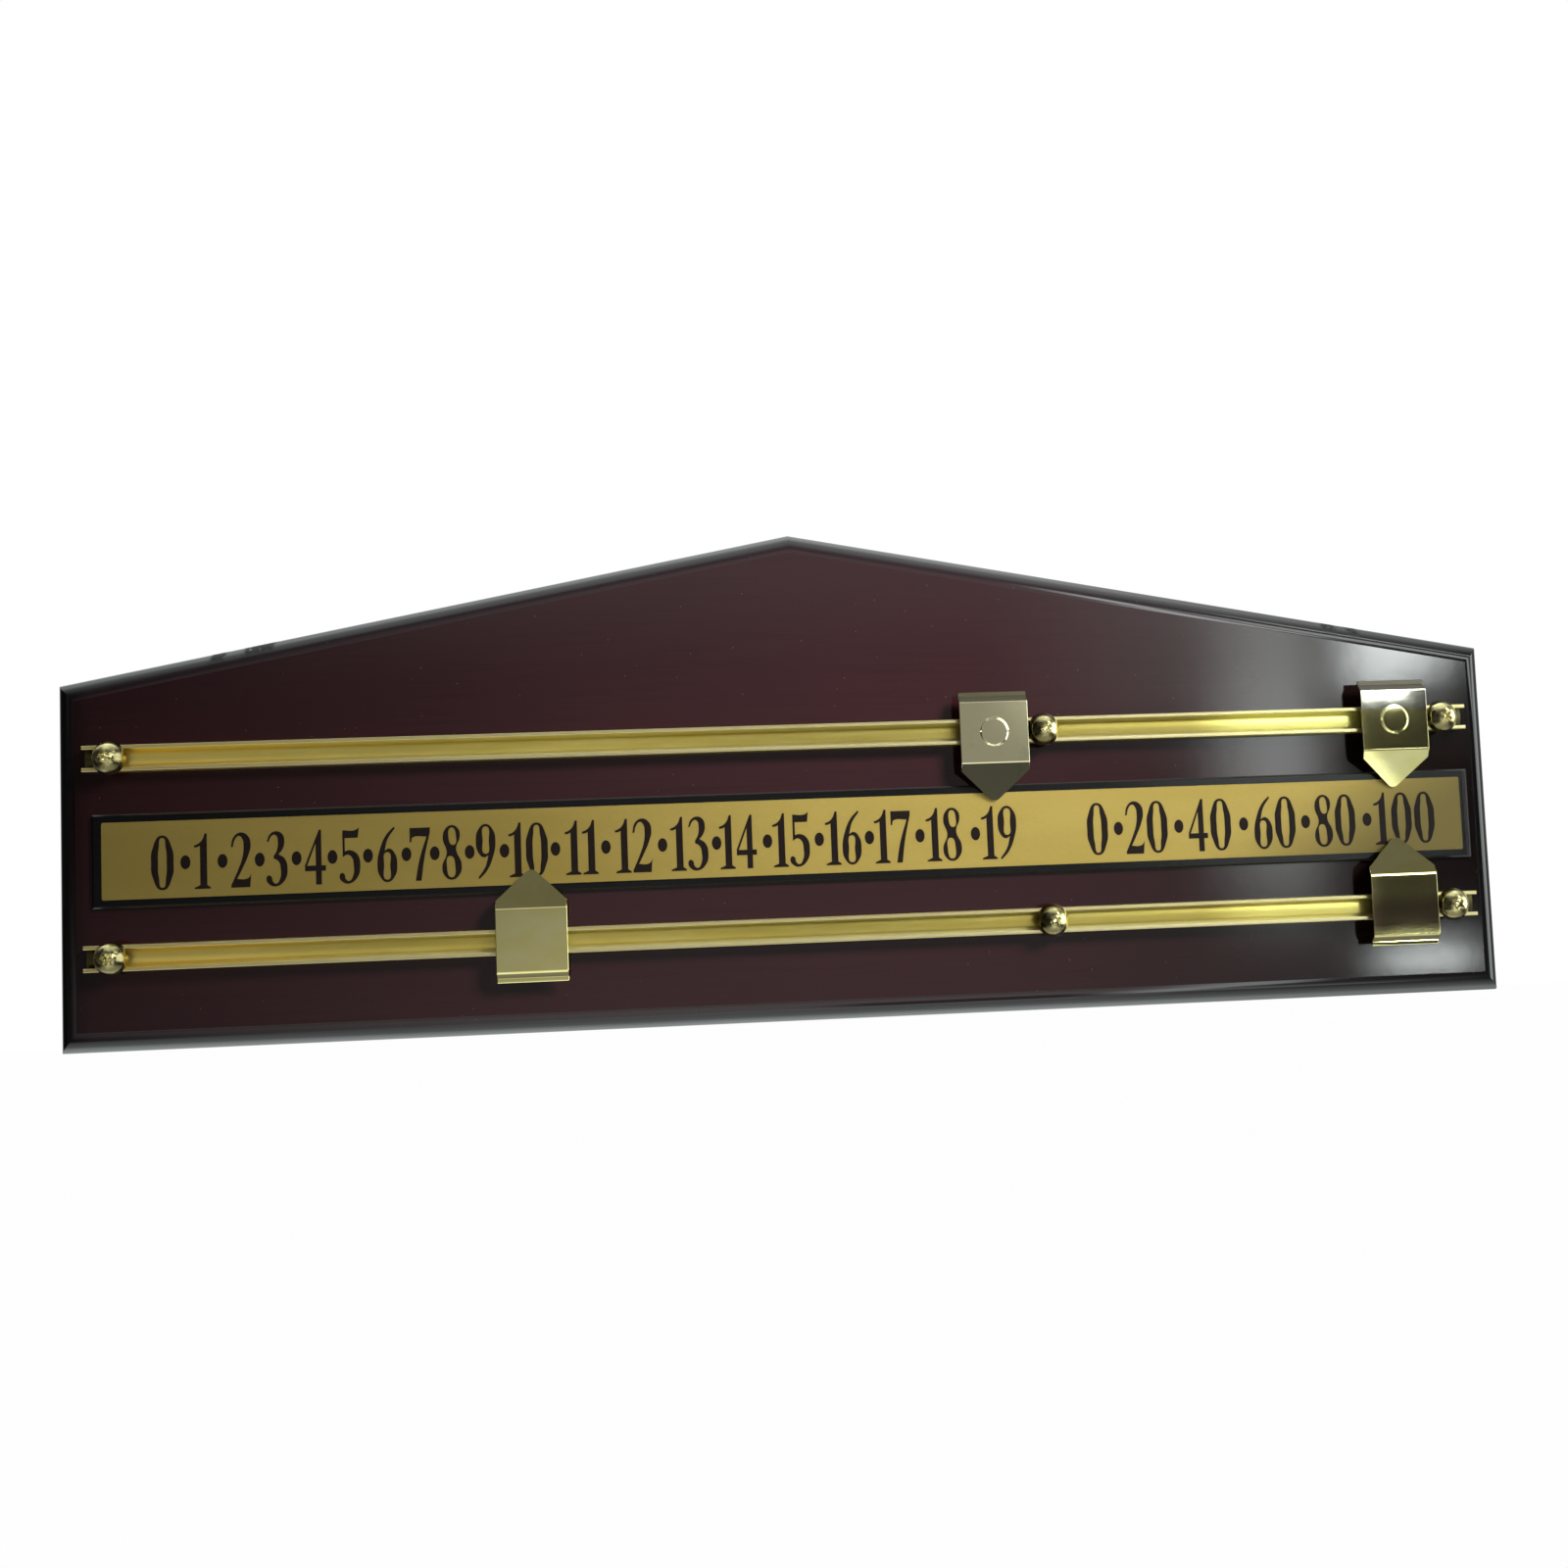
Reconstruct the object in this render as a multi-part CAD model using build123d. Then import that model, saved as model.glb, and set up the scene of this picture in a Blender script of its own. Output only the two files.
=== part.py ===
from build123d import *
import math
import os

# Wall-hung billiard scoreboard: a gabled lacquered board, a number scale between two
# open brass rails, and four folded brass pointers that slide between dome-head screws.
# Frame: X to the viewer's right, Z up, Y into the wall. Y = 0 is the wall, and the
# origin lies midway between the two keyholes. Lengths are in millimetres.

# Board, measured up from its lower edge
board_width = 600.0
shoulder_height = 149.0
apex_height = 205.0
board_thickness = 18.0
moulding_step = 0.8
moulding_radius = 8.5

# Scale
scale_height = 76.6
scale_shift = 1.7
scale_inset = 13.8
backing_width = 37.8
backing_thickness = 2.0
backing_bevel = 0.8
plate_end_margin = 4.1
plate_side_margin = 3.4
plate_thickness = 0.5
plate_corner = 0.8

# Rails, open to the front
upper_rail_rise = 41.1
lower_rail_drop = 38.5
rail_inset = 13.5
rail_width = 10.4
rail_depth = 6.0
rail_wall = 0.8
lip_reach = 0.7
lip_thickness = 1.0
lip_round = 0.3
floor_edge = 1.4
floor_crown = 0.9

# Rail screws, which are also the end stops
end_screw_inset = 10.6
middle_screw_x = 103.3
head_radius = 6.8
dome_height = 5.6
shank_radius = 1.9
shank_bite = 10.0
pilot_spare = 1.0
recess_span = 6.4
recess_width = 1.3
recess_rim = 0.5
recess_depth = 2.4
recess_foot = 2.2
recess_turns = [20.0, 65.0, 40.0]

# Pointers, folded from one sheet
sheet_thickness = 0.8
pointer_width = 28.8
face_gap = 2.1
fold_reach = 13.4
tail_fold_reach = 12.3
tail_reach = 14.4
tail_depth = 2.2
flange_reach = 16.3
tail_bend = 1.5
flange_bend = 0.5
tongue_length = 15.8
tongue_angle = 19.0
tongue_bend = 3.0
tongue_side = 3.2
tongue_tip_radius = 3.0
tongue_tip_overrun = 0.9
ring_radius = 5.7
ring_groove_width = 0.9
ring_groove_depth = 0.35

# Runners under the pointers
runner_length = 24.0
runner_gap = 0.3
runner_foot = 2.0
runner_corner = 1.5

# Where the pointers stand
stop_gap = 0.3
upper_right_back = 0.4
lower_left_x = -110.6
lower_right_back = 0.7

# Keyhole hangers, let into the back
hanger_drop = 29.0
hanger_inset = 74.0
hanger_length = 44.0
hanger_width = 16.0
hanger_thickness = 1.5
hanger_centre_rise = 4.0
hanger_screw_offset = 16.5
keyhole_radius = 4.5
keyhole_slot_radius = 2.3
keyhole_rise = 9.0
head_way_radius = 5.2
head_way_depth = 6.0
hanger_screw_radius = 1.5
hanger_screw_head = 3.0
hanger_screw_length = 11.0
driver_slot_width = 0.7
driver_slot_depth = 0.5

# Clearances
recess_gap = 0.2
hole_gap = 0.3
pilot_gap = 0.1
countersink_gap = 0.1

# Beyond the solid, so that a cut leaves no skin
over = 20.0

backing_length = board_width - 2 * scale_inset
plate_length = backing_length - 2 * plate_end_margin
plate_width = backing_width - 2 * plate_side_margin
upper_rail_height = scale_height + upper_rail_rise
lower_rail_height = scale_height - lower_rail_drop
rail_length = board_width - 2 * rail_inset
end_screw_x = rail_length / 2 - end_screw_inset
hanger_height = shoulder_height - hanger_drop
hanger_x = board_width / 2 - hanger_inset
face_y = -board_thickness
lip_y = face_y - rail_depth
pointer_top = rail_depth + face_gap + sheet_thickness
half_pointer = pointer_width / 2
stop_reach = head_radius + stop_gap + half_pointer


def up(height):
    """The frame's Z for a height above the board's lower edge."""
    return height - hanger_height


def to_front(x, z, y=face_y):
    """A plane at (x, z) with its normal towards the viewer and its local y upwards."""
    return Plane(origin=(x, y, z), x_dir=(1, 0, 0), z_dir=(0, -1, 0))


def rail_plane(x, rail_height, side):
    """The pointer's section plane: local x towards the scale, local y off the board."""
    return Plane(origin=(x, face_y, up(rail_height)), x_dir=(0, 0, side), z_dir=(side, 0, 0))


def blank_plane(x, rail_height, side):
    """A plane on the board's face: local x towards the scale, normal to the viewer."""
    return Plane(origin=(x, face_y, up(rail_height)), x_dir=(0, 0, side), z_dir=(0, -1, 0))


def board_corners():
    half = board_width / 2
    return [
        (-half, up(0)),
        (half, up(0)),
        (half, up(shoulder_height)),
        (0, up(apex_height)),
        (-half, up(shoulder_height)),
    ]


def moulding_cutter(start, end):
    """What a moulding bit takes off the board's front along one edge."""
    along = Vector(end[0] - start[0], 0, end[1] - start[1])
    outward = Vector(along.Z, 0, -along.X).normalized()
    origin = Vector(start[0], face_y, start[1]) - along.normalized() * over
    plane = Plane(origin=origin, x_dir=outward, z_dir=along.normalized())
    arris = -moulding_radius
    edge_depth = moulding_step + moulding_radius
    with BuildSketch(plane) as section:
        with BuildLine():
            Polyline(
                (arris, moulding_step),
                (arris, -over),
                (over, -over),
                (over, edge_depth),
                (0, edge_depth),
            )
            CenterArc((arris, edge_depth), moulding_radius, -90, 90)
        make_face()
    return extrude(section.sketch, along.length + 2 * over)


def make_board():
    with BuildSketch(Plane.XZ) as outline:
        Polygon(*board_corners(), align=None)
    board = extrude(outline.sketch, board_thickness)
    corners = board_corners()
    for index, start in enumerate(corners):
        board -= moulding_cutter(start, corners[(index + 1) % len(corners)])
    for x, height in rail_screw_places():
        pilot = Circle(shank_radius + pilot_gap)
        board -= extrude(to_front(x, up(height)) * pilot, -shank_bite - pilot_spare)
    for side in (-1, 1):
        board -= hanger_pocket(side * hanger_x)
    return board


def hanger_outline(gap):
    """A plate with round ends, drawn in a plane whose local y is upwards."""
    return Pos(0, hanger_centre_rise) * SlotOverall(
        hanger_length + 2 * gap, hanger_width + 2 * gap, rotation=90
    )


def keyhole_way(radius):
    """The path of a wall screw, from the round hole up to the slot's end."""
    return Pos(0, keyhole_rise / 2) * SlotCenterToCenter(keyhole_rise, 2 * radius, rotation=90)


def hanger_screw_heights():
    return [hanger_centre_rise + side * hanger_screw_offset for side in (-1, 1)]


def hanger_pocket(x):
    """The recess for the plate, the way for a wall screw's head, and two pilot holes."""
    back = to_front(x, 0, 0)
    seat = -hanger_thickness
    recess = extrude(back * hanger_outline(recess_gap), hanger_thickness)
    head_way = extrude(back * keyhole_way(head_way_radius), hanger_thickness + head_way_depth)
    pocket = recess + head_way
    for height in hanger_screw_heights():
        pilot = Circle(hanger_screw_radius + pilot_gap)
        pocket += extrude(to_front(x, height, seat) * pilot, hanger_screw_length)
    return pocket


def make_hanger(x):
    back = to_front(x, 0, 0)
    plate = extrude(back * hanger_outline(0), hanger_thickness)
    plate -= extrude(back * Circle(keyhole_radius), hanger_thickness)
    plate -= extrude(back * keyhole_way(keyhole_slot_radius), hanger_thickness)
    for height in hanger_screw_heights():
        plate -= countersunk(x, height, countersink_gap)
    return plate


def countersunk(x, height, gap):
    """A countersunk screw pointing out of the back, grown by a gap for its hole."""
    cone = hanger_screw_head - hanger_screw_radius
    with BuildSketch() as half:
        Polygon(
            (0, 0),
            (hanger_screw_head + gap, 0),
            (hanger_screw_radius + gap, cone),
            (hanger_screw_radius + gap, hanger_screw_length),
            (0, hanger_screw_length),
            align=None,
        )
    body = revolve(half.sketch, Axis.Y)
    return Pos(x, 0, height) * Rot(X=180) * body


def make_hanger_screw(x, height):
    driver = Box(2 * hanger_screw_head + over, 2 * driver_slot_depth, driver_slot_width)
    return countersunk(x, height, 0) - Pos(x, 0, height) * driver


def make_scale_backing():
    plane = to_front(scale_shift, up(scale_height))
    backing = extrude(plane * Rectangle(backing_length, backing_width), backing_thickness)
    front = backing.faces().sort_by(Axis.Y)[0]
    return chamfer(front.edges(), backing_bevel)


def make_scale_plate():
    plane = to_front(scale_shift, up(scale_height), face_y - backing_thickness)
    return extrude(plane * RectangleRounded(plate_length, plate_width, plate_corner), plate_thickness)


def rail_section():
    """The rail's profile: a low channel with a crowned floor and two inward lips."""
    half = rail_width / 2
    inner = half - rail_wall
    mouth = inner - lip_reach
    lip_foot = rail_depth - lip_thickness
    with BuildSketch() as section:
        with BuildLine():
            Polyline(
                (-inner, floor_edge),
                (-inner, lip_foot),
                (-mouth, lip_foot),
                (-mouth, rail_depth),
                (-half, rail_depth),
                (-half, 0),
                (half, 0),
                (half, rail_depth),
                (mouth, rail_depth),
                (mouth, lip_foot),
                (inner, lip_foot),
                (inner, floor_edge),
            )
            ThreePointArc((inner, floor_edge), (0, floor_edge + floor_crown), (-inner, floor_edge))
        make_face()
        tops = section.vertices().filter_by(lambda v: v.Y > rail_depth - lip_thickness / 2)
        fillet(tops, lip_round)
    return section.sketch


def make_rail(rail_height):
    plane = Plane(origin=(0, face_y, up(rail_height)), x_dir=(0, 0, 1), z_dir=(1, 0, 0))
    rail = extrude(plane * rail_section(), rail_length / 2, both=True)
    for x in rail_screw_x():
        hole = Circle(shank_radius + hole_gap)
        rail -= extrude(to_front(x, up(rail_height)) * hole, rail_depth)
    return rail


def rail_screw_x():
    return [-end_screw_x, middle_screw_x, end_screw_x]


def rail_screw_places():
    return [(x, height) for height in (upper_rail_height, lower_rail_height) for x in rail_screw_x()]


def make_rail_screw(x, rail_height, turn):
    """A dome-head screw: its head sits on the rail's lips and its shank enters the board."""
    crown = (head_radius**2 + dome_height**2) / (2 * dome_height)
    dome_angle = math.degrees(math.atan2(head_radius, crown - dome_height))
    shank_end = -rail_depth - shank_bite
    with BuildSketch() as half:
        with BuildLine():
            Polyline(
                (0, dome_height),
                (0, shank_end),
                (shank_radius, shank_end),
                (shank_radius, 0),
                (head_radius, 0),
            )
            CenterArc((0, dome_height - crown), crown, 90 - dome_angle, dome_angle)
        make_face()
    screw = revolve(half.sketch, Axis.Y)
    for arm in (0, 90):
        screw -= Rot(Y=arm) * recess_arm()
    return Pos(x, lip_y, up(rail_height)) * Rot(Y=turn) * Rot(X=180) * screw


def recess_arm():
    """One arm of the cross recess: a keel that narrows towards its foot."""
    top = dome_height
    with BuildSketch() as keel:
        Polygon(
            (-recess_span / 2, top + over),
            (recess_span / 2, top + over),
            (recess_span / 2, top - recess_rim),
            (recess_foot / 2, top - recess_depth),
            (-recess_foot / 2, top - recess_depth),
            (-recess_span / 2, top - recess_rim),
            align=None,
        )
    return extrude(keel.sketch, recess_width / 2, both=True)


def sheet_section():
    """The folded sheet seen from its end, from the flange over the face to past the tip."""
    run = tongue_length + tongue_bend
    drop = run * math.tan(math.radians(tongue_angle))
    flange_top = pointer_top - tail_depth
    path = FilletPolyline(
        (-flange_reach, flange_top),
        (-tail_reach, flange_top),
        (-tail_fold_reach, pointer_top),
        (fold_reach, pointer_top),
        (fold_reach + run, pointer_top - drop),
        radius=[flange_bend, tail_bend, tongue_bend],
    )
    return make_face(offset(path, amount=sheet_thickness, side=Side.RIGHT))


def sheet_blank():
    """The sheet's outline seen from the front: a square body and a blunt arrow tip."""
    shoulder = fold_reach + tongue_side
    point = fold_reach + tongue_length + tongue_tip_overrun
    blank = Polygon(
        (-flange_reach - over, -half_pointer),
        (shoulder, -half_pointer),
        (point, 0),
        (shoulder, half_pointer),
        (-flange_reach - over, half_pointer),
        align=None,
    )
    tip = blank.vertices().sort_by(Axis.X)[-1]
    return fillet(tip, tongue_tip_radius)


def make_pointer(x, rail_height, side, ringed):
    section_plane = rail_plane(x, rail_height, side)
    folded = extrude(section_plane * sheet_section(), half_pointer, both=True)
    pointer = folded & extrude(blank_plane(x, rail_height, side) * sheet_blank(), pointer_top)
    if ringed:
        pointer -= ring_groove(x, rail_height, side)
    return pointer


def face_centre():
    """How far the flat face's middle lies from the rail's centre, towards the scale."""
    return (fold_reach - tail_fold_reach) / 2


def ring_groove(x, rail_height, side):
    """A pressed ring that marks the pointers of the second player."""
    z = up(rail_height) + side * face_centre()
    half = ring_groove_width / 2
    with BuildSketch() as vee:
        Polygon(
            (ring_radius - half, 0),
            (ring_radius + half, 0),
            (ring_radius, ring_groove_depth),
            align=None,
        )
    return Pos(x, face_y - pointer_top, z) * revolve(vee.sketch, Axis.Y)


def make_runner(x, rail_height, side):
    """A T-shaped slide: its foot is held behind the rail's lips."""
    foot_half = rail_width / 2 - rail_wall - runner_gap
    neck_half = foot_half - lip_reach
    foot_top = rail_depth - lip_thickness - runner_gap
    under_face = pointer_top - sheet_thickness
    with BuildSketch() as section:
        Polygon(
            (-foot_half, foot_top - runner_foot),
            (foot_half, foot_top - runner_foot),
            (foot_half, foot_top),
            (neck_half, foot_top),
            (neck_half, under_face),
            (-neck_half, under_face),
            (-neck_half, foot_top),
            (-foot_half, foot_top),
            align=None,
        )
    block = extrude(rail_plane(x, rail_height, side) * section.sketch, runner_length / 2, both=True)
    plan = RectangleRounded(2 * foot_half, runner_length, runner_corner)
    return block & extrude(blank_plane(x, rail_height, side) * plan, under_face)


def pointer_places():
    """Each pointer's name, place, rail, side of the scale, and whether it has a ring."""
    left_stop = middle_screw_x - stop_reach
    right_stop = end_screw_x - stop_reach
    return [
        ("upper_left", left_stop, upper_rail_height, -1, True),
        ("upper_right", right_stop - upper_right_back, upper_rail_height, -1, True),
        ("lower_left", lower_left_x, lower_rail_height, 1, False),
        ("lower_right", right_stop - lower_right_back, lower_rail_height, 1, False),
    ]


def make_parts():
    parts = {
        "board": make_board(),
        "scale_backing": make_scale_backing(),
        "scale_plate": make_scale_plate(),
    }
    for row, rail_height in (("upper", upper_rail_height), ("lower", lower_rail_height)):
        parts[f"{row}_rail"] = make_rail(rail_height)
        screws = zip(rail_screw_x(), recess_turns)
        row_screws = [make_rail_screw(x, rail_height, turn) for x, turn in screws]
        parts[f"{row}_rail_screws"] = Compound(row_screws)
    for name, x, rail_height, side, ringed in pointer_places():
        parts[f"{name}_pointer"] = make_pointer(x, rail_height, side, ringed)
        parts[f"{name}_runner"] = make_runner(x, rail_height, side)
    for hand, side in (("left", -1), ("right", 1)):
        parts[f"{hand}_hanger"] = make_hanger(side * hanger_x)
        for level, height in zip(("lower", "upper"), hanger_screw_heights()):
            screw = make_hanger_screw(side * hanger_x, height)
            parts[f"{hand}_hanger_{level}_screw"] = screw
    return parts


os.makedirs("parts", exist_ok=True)
for node, shape in make_parts().items():
    export_step(shape, f"parts/{node}.step")
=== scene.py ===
from math import radians, sin

import bpy
from mathutils import Matrix, Vector


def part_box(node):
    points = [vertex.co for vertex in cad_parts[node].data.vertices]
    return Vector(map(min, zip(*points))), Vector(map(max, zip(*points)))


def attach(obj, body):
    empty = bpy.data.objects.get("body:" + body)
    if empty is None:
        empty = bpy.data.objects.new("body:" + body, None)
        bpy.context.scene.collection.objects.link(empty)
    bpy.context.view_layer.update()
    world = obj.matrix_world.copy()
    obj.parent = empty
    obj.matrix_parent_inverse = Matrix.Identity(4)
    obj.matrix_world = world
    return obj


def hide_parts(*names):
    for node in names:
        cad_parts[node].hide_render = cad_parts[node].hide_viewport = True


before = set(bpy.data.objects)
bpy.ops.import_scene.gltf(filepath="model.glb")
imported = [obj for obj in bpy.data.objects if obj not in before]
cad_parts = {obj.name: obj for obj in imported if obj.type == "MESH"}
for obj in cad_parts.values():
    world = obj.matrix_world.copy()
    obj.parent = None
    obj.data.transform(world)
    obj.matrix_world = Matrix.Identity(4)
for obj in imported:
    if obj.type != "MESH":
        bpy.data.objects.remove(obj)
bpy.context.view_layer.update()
mm = 0.001

# Where the number plate and the rails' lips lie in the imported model
plate_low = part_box("scale_plate")[0]
lip_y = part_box("upper_rail")[0].y

# In millimetres from the board's middle. The finishes tell one place from another by these.
BOARD_HALF = 300
UPPER_RAIL_Z = -2.3
RAIL_SPACING = 79.6
PLATE_Z = -43.4
MIDDLE_SCREW_X = 103.3
END_SCREW_X = 275.9
# Where one thing ends and the next begins, from left to right or from below
BETWEEN_RAILS = (-40, -39)
BETWEEN_SCREWS = (190, 191)
RIGHT_POINTERS = (200, 210)


# Finishes

class Signal:
    """A shader output that takes arithmetic."""

    def __init__(self, finish, socket):
        self.finish = finish
        self.socket = socket

    def maths(self, operation, *others):
        return self.finish.add("ShaderNodeMath", {"operation": operation}, self, *others)

    def __add__(self, other):
        return self.maths("ADD", other)

    def __sub__(self, other):
        return self.maths("SUBTRACT", other)

    def __rsub__(self, other):
        return self.finish.add("ShaderNodeMath", {"operation": "SUBTRACT"}, other, self)

    def __mul__(self, other):
        return self.maths("MULTIPLY", other)

    def __truediv__(self, other):
        return self.maths("DIVIDE", other)

    def size(self):
        return self.maths("ABSOLUTE")

    def between(self, low, high, start=0.0, end=1.0):
        """Goes softly from start to end as the signal goes from low to high."""
        settings = {"interpolation_type": "SMOOTHSTEP"}
        return self.finish.add("ShaderNodeMapRange", settings, self, low, high, start, end)

    def within(self, below, low, high, beyond):
        """Is 1 from low to high, and fades to 0 at the two outer values."""
        return self.between(below, low) * self.between(high, beyond, 1.0, 0.0)

    def out(self, name):
        return Signal(self.finish, self.socket.node.outputs[name])


class Finish:
    """A node tree that is written as expressions."""

    def __init__(self, owner):
        owner.use_nodes = True
        self.owner = owner
        self.tree = owner.node_tree

    def add(self, kind, settings=None, *values, **named):
        node = self.tree.nodes.new(kind)
        for key, value in (settings or {}).items():
            setattr(node, key, value)
        for socket, value in zip(node.inputs, values):
            self.feed(socket, value)
        for key, value in named.items():
            self.feed(node.inputs[key], value)
        return Signal(self, [socket for socket in node.outputs if socket.enabled][0])

    def feed(self, socket, value):
        if isinstance(value, Signal):
            self.tree.links.new(value.socket, socket)
        else:
            socket.default_value = value

    def mix(self, share, first, second):
        """A colour between two, by a share from 0 to 1."""
        node = self.tree.nodes.new("ShaderNodeMix")
        node.data_type = "RGBA"
        self.feed(node.inputs["Factor"], share)
        for name, value in (("A", first), ("B", second)):
            socket = [s for s in node.inputs if s.name == name and s.type == "RGBA"][0]
            self.feed(socket, value if isinstance(value, Signal) else (*value, 1.0))
        return Signal(self, [s for s in node.outputs if s.type == "RGBA"][0])

    def layered(self, colour, *coats):
        """A colour with coats laid over it, each by its own share from 0 to 1."""
        for share, coat in coats:
            colour = self.mix(share, colour, coat)
        return colour

    def place(self, x, y, z):
        """The piece's own coordinates in millimetres, stretched along each axis."""
        here = self.add("ShaderNodeTexCoord").out("Object")
        return self.add("ShaderNodeMapping", None, here, Scale=(1000 * x, 1000 * y, 1000 * z))

    def axes(self):
        """The piece's own coordinates in millimetres, one signal each."""
        here = self.add("ShaderNodeTexCoord").out("Object")
        split = self.add("ShaderNodeSeparateXYZ", None, here)
        return [split.out(axis) * 1000 for axis in "XYZ"]

    def noise(self, stretch, detail, roughness=0.5):
        return self.add(
            "ShaderNodeTexNoise", None,
            Vector=self.place(*stretch), Scale=1.0, Detail=detail, Roughness=roughness,
        )

    def cells(self, spacing):
        place = self.place(spacing, spacing, spacing)
        return self.add("ShaderNodeTexVoronoi", {"feature": "F1"}, Vector=place, Scale=1.0)

    def bump(self, height, distance):
        """Distance is the height in millimetres that a signal of 1 stands for."""
        return self.add(
            "ShaderNodeBump", None, Height=height, Strength=1.0, Distance=distance * mm
        )


class Surface(Finish):
    """A named material with one principled shader."""

    def __init__(self, name, **values):
        super().__init__(bpy.data.materials.new(name))
        self.shader = self.tree.nodes["Principled BSDF"]
        self.set(**values)

    def set(self, **values):
        for key, value in values.items():
            if isinstance(value, tuple) and len(value) == 3:
                value = (*value, 1.0)
            self.feed(self.shader.inputs[key.replace("_", " ")], value)
        return self


def rail_height(z):
    """Height above the middle of the rail that a point belongs to."""
    return z - UPPER_RAIL_Z + z.between(*BETWEEN_RAILS, RAIL_SPACING, 0.0)


# Painted dark reflections on the moulding's top edge: the middle, where each starts to fade, and
# where it ends
DARK_EDGE_REFLECTIONS = ((-235.5, 2.0, 4.5), (-219.0, 4.5, 8.0), (233.0, 2.0, 4.5), (243.5, 1.5, 4.0))


def board_lacquer():
    """Red-brown wood under gloss, with painted shade to the right and at the sides, a painted grey
    reflection on the moulding and painted dark reflections on its top edge.
    """
    red_brown, light_brown = (0.038, 0.0105, 0.014), (0.045, 0.0125, 0.016)
    grain_brown, right_shade_brown = (0.026, 0.008, 0.010), (0.009, 0.0065, 0.0050)
    moulding_reflection_grey, side_shade_black = (0.030, 0.028, 0.031), (0.003, 0.002, 0.002)
    edge_reflection_black, dust_grey = (0.001, 0.001, 0.001), (0.35, 0.34, 0.33)
    finish = Surface("board_lacquer", IOR=1.5)
    x, y, z = finish.axes()
    broad = finish.noise((0.004, 0.02, 0.012), 3.0)
    grain = finish.noise((0.02, 0.3, 0.6), 4.0, 0.6)
    moulding = y.within(-17.7, -16.4, -11.0, -9.0)
    sides = x.size().between(284, 297)
    patchy = finish.noise((0.5, 0.5, 0.5), 3.0)
    marks = [(x - middle).size().between(full, gone, 1.0, 0.0) for middle, full, gone in DARK_EDGE_REFLECTIONS]
    top_edge = z.between(10, 15) * y.between(-17.0, -15.5)
    edge_reflection = sum(marks[1:], marks[0]) * top_edge * patchy.between(0.3, 0.45)
    dust = finish.cells(0.16).between(0.025, 0.055, 1.0, 0.0)
    colour = finish.layered(
        finish.mix(broad.between(0.35, 0.7), red_brown, light_brown),
        (grain.between(0.45, 0.8, 0.0, 0.4), grain_brown),
        # Painted shade: the lacquer goes blacker towards the right
        (x.between(60, 285, 0.0, 0.85), right_shade_brown),
        # Painted reflection: the moulding is greyer than the face
        (moulding * 0.85, moulding_reflection_grey),
        # Painted shade: nearly black at the left and right sides
        (sides * 0.9, side_shade_black),
        # Painted dark reflections on the top edge, where the lacquer is also rougher
        (edge_reflection, edge_reflection_black),
        (dust * 0.2, dust_grey),
    )
    peel = finish.noise((0.12, 0.12, 0.12), 2.0)
    fine = finish.noise((1.6, 1.6, 1.6), 2.0)
    smear = finish.noise((0.03, 0.03, 0.05), 3.0)
    return finish.set(
        Base_Color=colour,
        Roughness=smear * 0.04 + 0.06 + edge_reflection * 0.6,
        Normal=finish.bump(peel * 0.7 + fine * 0.25, 0.012),
    )


def backing_gloss():
    """Black gloss with a painted highlight: a thin grey line where the bevel starts."""
    black, soft_black = (0.0035, 0.0035, 0.0035), (0.008, 0.008, 0.009)
    bevel_highlight_grey = (0.075, 0.062, 0.066)
    finish = Surface("backing_black", IOR=1.36)
    x, y, z = finish.axes()
    wipe = finish.noise((0.02, 0.1, 0.1), 3.0)
    ripple = finish.noise((0.15, 0.15, 0.15), 1.0)
    # Painted highlight along the start of the bevel
    line = x.size().between(285.4, 285.9) + (z - PLATE_Z).size().between(18.1, 18.6)
    colour = finish.layered(
        finish.mix(wipe, black, soft_black),
        (line.between(0, 1, 0.0, 0.6), bevel_highlight_grey),
    )
    return finish.set(
        Base_Color=colour,
        Roughness=wipe * 0.1 + 0.14,
        Normal=finish.bump(ripple, 0.01),
    )


def plate_brass():
    """Brushed brass, with painted shade at the left and at the lower right."""
    brass, light_brass, brush_brown = (0.50, 0.365, 0.082), (0.55, 0.405, 0.10), (0.36, 0.27, 0.07)
    left_shade_brown, corner_shade_brown = (0.10, 0.07, 0.01), (0.17, 0.13, 0.035)
    finish = Surface("plate_brass", Metallic=0.45)
    x, y, z = finish.axes()
    cloud = finish.noise((0.012, 0.05, 0.05), 3.0)
    brush = finish.noise((0.35, 6.0, 6.0), 3.0, 0.6)
    grit = finish.noise((3.0, 3.0, 3.0), 2.0)
    corner = x - z * 1.5
    colour = finish.layered(
        finish.mix(cloud.between(0.3, 0.7), brass, light_brass),
        (brush.between(0.4, 0.75, 0.0, 0.35), brush_brown),
        # Painted shade: browner towards the left
        (x.between(-150, 20, 0.30, 0.0), left_shade_brown),
        # Painted shade towards the lower right corner
        (corner.between(248, 338, 0.0, 0.92), corner_shade_brown),
    )
    return finish.set(
        Base_Color=colour,
        Roughness=grit * 0.1 + 0.42,
        Normal=finish.bump(brush * 0.7 + grit * 0.3, 0.004),
    )


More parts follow.
